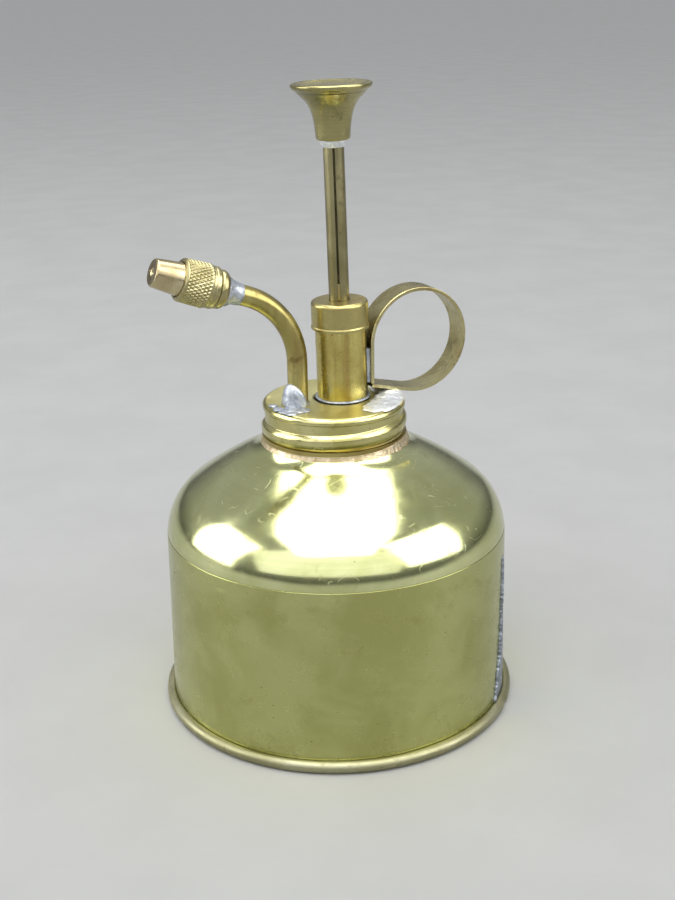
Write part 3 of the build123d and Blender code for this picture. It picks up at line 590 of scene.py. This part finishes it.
def seam_edges(t):
    """Front and back edge of the smear, in millimetres round the wall, at a share of its height."""
    for (t0, f0, b0), (t1, f1, b1) in zip(seam_points, seam_points[1:]):
        if t <= t1:
            s = (t - t0) / (t1 - t0)
            return f0 + (f1 - f0) * s, b0 + (b1 - b0) * s
    return seam_points[-1][1:]


def seam():
    grid = []
    rows, columns = 300, 48
    for j in range(rows + 1):
        t = j / rows
        z = seam_low + (seam_high - seam_low) * t
        front, back = seam_edges(t)
        front += 0.35 * grain((0, 0, z), 2.1, 3) + 0.22 * grain((0, 0, z), 0.7, 5)
        back += 0.9 * grain((0, 0, z), 3.5, 7) + 0.2 * grain((0, 0, z), 0.8, 9)
        wall_r = wall_radius + (brow_radius - wall_radius) * (z - wall_low.z) / (brow - wall_low.z)
        row = []
        for i in range(columns + 1):
            s = i / columns
            along = front + (back - front) * s ** 1.4
            lip = math.exp(-((along - front - 0.28) / 0.30) ** 2) * (0.34 + 0.14 * grain((s, 0, z), 0.9, 2))
            smear = 0.16 * (1 - s) ** 0.5 + 0.06 * grain((along, 0, z), 1.2, 6)
            ends = smooth_step(0, 0.02, t) * (1 - smooth_step(0.96, 1, t))
            tall = (lip + max(0.0, smear)) * ends if 0 < s < 1 else -0.12
            azimuth = seam_azimuth + math.degrees(along / wall_r)
            row.append(on_circle(azimuth, wall_r + max(-0.12, tall) - 0.03, z))
        grid.append(row)
    return piece("seam_smear", *surface(grid, False), can, seam_grey)


stand_for(seam(), "reservoir", "solder", "seam_solder")


# ---------------------------------------------------------------- screw cap
cap_radius, cap_band, cap_skirt, cap_bore = 16.7, 16.2, 16.45, 15.8
rim_round = 1.2
roll_centre, roll_pitch, roll_azimuth = 69.4, 3.2, 246.0
roll_tall = cap_high.x - cap_band
roll_above, roll_below = 1.5, 2.2
roll_start, roll_end = 140.0, 426.0
hole_r, hole_x = 6.5, pump_foot.x - 0.3


def roll_height(azimuth):
    return roll_centre + roll_pitch * (azimuth - roll_azimuth) / 360


def cap_side(azimuth, h):
    """Outside radius of the cap's skirt: plain band, helical roll, slightly wider foot."""
    spot = on_circle(azimuth, 16, h)
    r = cap_band + (cap_skirt - cap_band) * (1 - smooth_step(cap_low.z + 1.8, cap_low.z + 3.0, h))
    for along in (azimuth, azimuth + 360):
        if roll_start <= along <= roll_end:
            ends = smooth_step(roll_start, roll_start + 16, along)
            ends *= 1 - smooth_step(roll_end - 18, roll_end, along)
            away = h - roll_height(along)
            away /= roll_above if away > 0 else roll_below
            if abs(away) < 1:
                r += (roll_tall - r + cap_band) * ends * (1 - away * away) ** 0.9
    return min(r + 0.03 * grain(spot, 3, 2), cap_high.x)


def screw_cap():
    columns, side_rows, rim_steps, top_steps = 512, 64, 12, 14
    grid = []
    side_top = cap_top - rim_round - 0.5
    azimuths = [360 * c / columns for c in range(columns)]

    def ring(radius, height):
        grid.append([on_circle(a, radius, height) for a in azimuths])

    def hole(height):
        grid.append([Vector((hole_x, 0, 0)) + on_circle(a, hole_r, height) for a in azimuths])

    under = cap_top - 0.8
    foot = cap_low.z + 0.1
    hole(under)
    ring(cap_bore, under)
    ring(cap_bore, cap_low.z + 0.15)
    ring(cap_bore + 0.1, cap_low.z)
    grid.append([on_circle(a, cap_side(a, foot) - 0.1, cap_low.z) for a in azimuths])
    for k in range(side_rows + 1):
        h = foot + (side_top - foot) * k / side_rows
        grid.append([on_circle(a, cap_side(a, h), h) for a in azimuths])
    for k in range(rim_steps + 1):
        lift = math.radians(-25 + 115 * k / rim_steps)
        r = cap_radius - rim_round + rim_round * math.cos(lift)
        h = cap_top - rim_round + rim_round * math.sin(lift)
        ring(r, h)
    # the top, from the rim in to the barrel's hole
    rim_row = grid[-1]
    for k in range(1, top_steps + 1):
        s = k / top_steps
        row = []
        for a, at_rim in zip(azimuths, rim_row):
            p = at_rim.lerp(Vector((hole_x, 0, 0)) + on_circle(a, hole_r, at_rim.z), s)
            wave = 0.05 * grain((p.x, p.y, 0), 4, 1) * math.sin(math.pi * s)
            row.append((p.x, p.y, at_rim.z - 0.05 + wave))
        grid.append(row)
    hole(under)
    return piece("cap", *surface(grid, True), can, cap_brass)


stand_for(screw_cap(), "pump_head", "polished_brass", "screw_cap")


# ---------------------------------------------------------------- thumb knob
knob_low, knob_high = millimetres("thumb_knob")
knob_radius = (knob_high.x - knob_low.x) / 2 / pump_up.z - 0.05
knob_top = (knob_high.z - pump_foot.z) - 0.2
knob_tall = 12.2
knob_foot = knob_top - knob_tall


def knob_shape(azimuth, r, h):
    spot = on_circle(azimuth, 9, h)
    worn = smooth_step(knob_radius - 1.5, knob_radius, r)
    return r - worn * (0.03 + 0.03 * grain(spot, 4, 5)), h - 0.02 * worn * (1 + grain(spot, 2, 7))


knob_outline = rounded([
    (0, knob_top - 0.95), (2.2, knob_top - 0.95, 0.3),
    (2.5, knob_top - 0.85, 0.2), (6.2, knob_top - 0.65, 0.8),
    (knob_radius - 1.2, knob_top - 0.2, 0.4), (knob_radius - 0.7, knob_top, 0.3),
    (knob_radius, knob_top - 0.25, 0.35), (knob_radius - 0.1, knob_top - 1.0, 0.3),
    (knob_radius - 0.9, knob_top - 1.55, 0.55), (7.2, knob_top - 2.55, 0.9), (5.5, knob_top - 4.2, 1.1),
    (4.6, knob_top - 6.2, 1.0), (4.1, knob_top - 8.6, 1.2),
    (3.8, knob_foot + 0.3, 0.2), (3.5, knob_foot, 0.1), (2.4, knob_foot),
], 0.4)
stand_for(lathe("knob", knob_outline, pump, knob_brass, 256, knob_shape), "plunger", "turned_brass",
          "thumb_knob")


# ---------------------------------------------------------------- nozzle
# heights run forward along the nozzle, from the tip's face at 0
knurls_around, knurl_slope = 36, 0.62
nut_front, nut_rear = -6.2, -14.7
nut_shoulder, nut_shoulder_radius = -6.6, 4.8
nut_waist_radius = 5.0
knurl_front, knurl_rear = -6.75, -12.4


def diamonds(azimuth, h):
    """Height from 0 to 1 of a diamond knurl: pyramids between two crossing sets of grooves."""
    p = azimuth / 360 * knurls_around
    q = h * knurl_slope
    return min(abs(((v + 0.5) % 1) * 2 - 1) for v in (p + q, p - q))


def nut_radius(h):
    return nut_shoulder_radius + (nut_waist_radius - nut_shoulder_radius) * (nut_shoulder - h) / 6.0


def knurled(azimuth, r, h):
    if not knurl_rear < h < knurl_front:
        return r, h
    ends = smooth_step(knurl_rear, knurl_rear + 0.5, h)
    ends *= 1 - smooth_step(knurl_front - 0.4, knurl_front, h)
    worn = 0.75 + 0.5 * grain(on_circle(azimuth, 5, h), 2.2, 3)
    cut = (1 - min(1.0, 1.6 * diamonds(azimuth, h))) * 0.34 * min(1.0, worn)
    return r - cut * ends, h


def nozzle_nut():
    columns, rows = 576, 96
    outline = rounded([
        (3.85, -7.0), (3.85, nut_front, 0.1), (4.4, nut_front, 0.12),
        (nut_shoulder_radius, nut_shoulder, 0.15), (4.78, knurl_front),
    ], 0.1)
    for k in range(1, rows + 1):
        h = knurl_front + (knurl_rear - knurl_front) * k / rows
        outline.append(Vector((nut_radius(h), h)))
    outline += rounded([
        (4.98, knurl_rear), (4.98, knurl_rear - 0.15, 0.08), (4.72, knurl_rear - 0.35, 0.08),
        (4.75, -13.3, 0.1), (4.62, -13.42, 0.06), (4.75, -13.55, 0.1), (4.75, -14.35, 0.15),
        (4.5, nut_rear, 0.15), (4.05, nut_rear),
    ], 0.15)
    return lathe("nut", outline, nozzle, nut_brass, columns, knurled)


stand_for(nozzle_nut(), "nozzle_union", "turned_brass", "nozzle_nut")

tip_outline = rounded([
    (0, -2.4), (0.38, -2.4), (0.38, -0.5, 0.05), (0.95, -0.05, 0.15), (2.85, 0, 0.12), (3.15, -0.3, 0.15),
    (3.75, -6.3), (3.75, -7.2), (4.3, -7.2), (4.3, -9.3), (2.3, -9.3), (2.3, -3.0), (0, -3.0),
], 0.3)
stand_for(lathe("tip", tip_outline, nozzle, tip_brass, 192), "nozzle", "turned_brass", "nozzle_tip")


def cone_shape(azimuth, r, h):
    spot = on_circle(azimuth, 3, h)
    swell = smooth_step(2.35, 2.8, r)
    return r + swell * (0.12 * grain(spot, 1.4, 2) + 0.05 * grain(spot, 0.6, 4) - 0.05), h


cone_outline = rounded([(3.15, -16.92), (3.65, -16.94, 0.12), (3.35, -17.7, 0.4), (2.75, -18.9, 0.6),
                        (2.42, -20.9), (2.36, -21.0)], 0.12)
stand_for(lathe("nozzle_cone", cone_outline, nozzle, blue_solder, 192, cone_shape), "pump_head", "solder",
          "nozzle_solder")


# ---------------------------------------------------------------- solder on the cap
solder_bore = 2.37               # just outside the spout tube and the rod
lump_azimuth, lump_thick, lump_tall = 205, 1.75, 4.9


def spout_collar(azimuth, r, h):
    """Solder climbs one side of the spout tube in a rounded lump and stays low on the other."""
    spot = on_circle(azimuth, 3, h * 4)
    side = max(0.0, math.cos(math.radians(azimuth - lump_azimuth))) ** 0.5
    tall = 0.25 + lump_tall * side * (1 + 0.06 * grain(spot, 2.2, 3))
    thick = (r - solder_bore) * (0.2 + 0.8 * side) * (1 + 0.12 * grain(spot, 1.8, 6))
    return solder_bore + thick, h * tall


collar_outline = []
for k in range(41):
    t = k / 40
    collar_outline.append(Vector((solder_bore + lump_thick * (1 - t ** 3) ** 0.5 * (1 - 0.25 * t), t)))
collar_outline.append(Vector((2.3, 1.0)))
spout_lump = lathe("spout_lump", collar_outline, spout, blue_solder, 160, spout_collar)


def near_rim(x, y):
    """Room for solder on the cap's face, which shrinks from 2.2 mm where the rim rounds over."""
    past_rim = max(0.0, math.hypot(x, y) - 14.9)
    return 2.2 - 1.4 * past_rim


spout_patch = puddle("spout_patch", [
    (-14.4, -5.0, 1.7, 0.35), (-13.2, -6.7, 1.5, 0.3), (-14.9, -2.4, 1.5, 0.35), (-15.0, 0.4, 1.1, 0.3),
    (-12.0, -5.2, 2.2, 0.55), (-11.6, -3.4, 2.0, 0.8), (-10.2, -5.6, 1.7, 0.35),
], cap_face, blue_solder, seed=4.0, limit=near_rim)
stand_for(joined(spout_lump, spout_patch), "pump_head", "solder", "spout_solder")

stand_for(puddle("ring_mound", [
    (12.9, 0.0, 3.0, 1.0), (13.0, 2.8, 2.0, 0.7), (13.1, -3.4, 2.8, 1.0), (11.6, -6.2, 3.6, 0.8),
    (9.6, -9.0, 4.0, 0.6), (7.2, -11.0, 3.8, 0.45), (5.0, -11.6, 2.8, 0.35), (9.0, -12.0, 2.8, 0.4),
    (12.0, -9.0, 2.4, 0.45),
], cap_face, bright_solder, seed=9.0, limit=near_rim), "pump_head", "solder", "ring_solder")


def foot_shape(azimuth, r, h):
    spot = on_circle(azimuth, 6, h)
    return r + 0.07 * grain(spot, 1.5, 3) * (r > 6.1), h * (1 + 0.15 * grain(spot, 2, 6))


foot_outline = rounded([
    (5.92, 0.03), (6.35, 0.03, 0.05), (6.5, 0.25, 0.15), (6.25, 0.5, 0.15), (5.92, 0.55),
], 0.08)
stand_for(lathe("barrel_foot", foot_outline, pump, blue_solder, 256, foot_shape), "pump_head", "solder",
          "barrel_solder")


def neck_lump(azimuth, r, h):
    return r + smooth_step(2.36, 2.6, r) * 0.12 * grain(on_circle(azimuth, 3, h), 0.9, 3), h


knob_solder_outline = rounded([
    (solder_bore, knob_foot - 0.02), (3.1, knob_foot - 0.03, 0.1), (2.9, knob_foot - 0.8, 0.4),
    (2.42, knob_foot - 1.55), (2.36, knob_foot - 1.6),
], 0.1)
stand_for(lathe("knob_lump", knob_solder_outline, pump, bright_solder, 128, neck_lump), "plunger", "solder",
          "knob_solder")

# ---------------------------------------------------------------- CAD pieces that stay
kept = {
    "neck_collar": neck_brass, "pump_barrel": barrel_brass, "barrel_cap": barrel_cap_brass,
    "plunger_rod": rod_brass, "finger_ring": ring_brass, "delivery_tube": tube_brass,
    "nozzle_adapter": nut_brass, "leg_solder": blue_solder, "foot_valve_body": inner_brass,
    "suction_tube": inner_brass, "strainer": inner_brass, "passage_plug": inner_brass,
    "piston_carrier": inner_brass, "piston_washer": inner_brass, "piston_nut": inner_brass,
    "swirl_core": inner_brass,
}
wire = steel()
hide = leather()
kept.update({n: wire for n in ("inlet_pin", "outlet_pin", "inlet_ball", "outlet_ball", "return_spring")})
kept.update({"cap_washer": hide, "leather_cup": hide, "nozzle_washer": fibre()})
for name, material in kept.items():
    mesh = frame["nodes"][name].data
    mesh.materials.clear()
    mesh.materials.append(material)


# ---------------------------------------------------------------- floor, light and camera
def stage_floor():
    reach = 14
    mesh = bpy.data.meshes.new("floor")
    mesh.from_pydata([(-reach, -reach, 0), (reach, -reach, 0), (reach, reach, 0), (-reach, reach, 0)], [],
                     [(0, 1, 2, 3)])
    floor = bpy.data.objects.new("floor", mesh)
    scene.collection.objects.link(floor)
    g = Graph("pale_floor")
    tone = g.band(g.noise(40, detail=4.0), 0.3, 0.7)
    color = g.mix(tone, (0.70, 0.70, 0.69), (0.74, 0.74, 0.73))
    mesh.materials.append(g.finish(color, 0.75, metallic=0.0))


view_turn = math.radians(24)
aim = Vector((0, 0, 0.06))


def around(azimuth, height, distance=1.0):
    """Point at an azimuth seen from the camera: 0 is image right, -90 towards the camera."""
    turn = math.radians(azimuth) - view_turn
    lift = math.radians(height)
    level = math.cos(lift)
    return aim + distance * Vector((math.cos(turn) * level, math.sin(turn) * level, math.sin(lift)))


def panel(name, azimuth, height, distance, width, tall, radiance, roll=0.0, glossy=True):
    """Soft box facing the object. One kind is seen only in reflections, the other only lights."""
    light = bpy.data.lights.new(name, "AREA")
    light.shape = "RECTANGLE"
    light.size, light.size_y = width, tall
    light.energy = radiance * math.pi * width * tall
    made = bpy.data.objects.new(name, light)
    scene.collection.objects.link(made)
    spot = around(azimuth, height, distance)
    facing = (spot - aim).to_track_quat("Z", "Y").to_matrix().to_4x4()
    made.matrix_world = Matrix.Translation(spot) @ facing @ Matrix.Rotation(math.radians(roll), 4, "Z")
    made.visible_camera = False
    made.visible_glossy = glossy
    made.visible_diffuse = not glossy


def studio():
    panel("overhead", -90, 88, 1.0, 0.94, 1.62, 5.0)
    panel("left_box", 181, 24, 1.0, 0.72, 0.85, 4.5)
    panel("right_box", -18, 32, 1.0, 0.80, 0.86, 4.0, roll=-12)
    panel("front_fill", -95, 34, 1.4, 3.0, 1.2, 1.2)
    panel("soft_top", -100, 70, 1.4, 1.2, 1.2, 1.3, glossy=False)
    panel("soft_left", 200, 45, 1.6, 1.0, 1.0, 0.5, glossy=False)
    world = bpy.data.worlds.new("studio")
    scene.world = world
    world.use_nodes = True
    tree = world.node_tree
    direction = tree.nodes.new("ShaderNodeTexCoord")
    height = tree.nodes.new("ShaderNodeSeparateXYZ")
    ramp = tree.nodes.new("ShaderNodeMapRange")
    ramp.inputs["From Min"].default_value = 0.05
    ramp.inputs["From Max"].default_value = 0.35
    ramp.inputs["To Min"].default_value = 0.16
    ramp.inputs["To Max"].default_value = 0.50
    tree.links.new(direction.outputs["Generated"], height.inputs[0])
    tree.links.new(height.outputs["Z"], ramp.inputs["Value"])
    tree.links.new(ramp.outputs[0], tree.nodes["Background"].inputs["Strength"])
    tree.nodes["Background"].inputs["Color"].default_value = (0.96, 0.98, 1, 1)


def camera():
    eye = Vector((-0.1191, -0.2692, 0.1685))
    pitch, roll = math.radians(19.94), math.radians(1.03)
    level_right = Vector((math.cos(view_turn), -math.sin(view_turn), 0))
    ahead = Vector((math.sin(view_turn), math.cos(view_turn), 0))
    forward = ahead * math.cos(pitch) - UP * math.sin(pitch)
    level_up = ahead * math.sin(pitch) + UP * math.cos(pitch)
    right = level_right * math.cos(roll) - level_up * math.sin(roll)
    up = level_right * math.sin(roll) + level_up * math.cos(roll)
    seen = bpy.data.objects.new("camera", bpy.data.cameras.new("camera"))
    scene.collection.objects.link(seen)
    turned = Matrix((right, up, -forward)).transposed().to_4x4()
    seen.matrix_world = Matrix.Translation(eye) @ turned
    seen.data.lens = 52.75
    seen.data.sensor_width = 36
    seen.data.clip_start = 0.01
    scene.camera = seen


stage_floor()
studio()
camera()
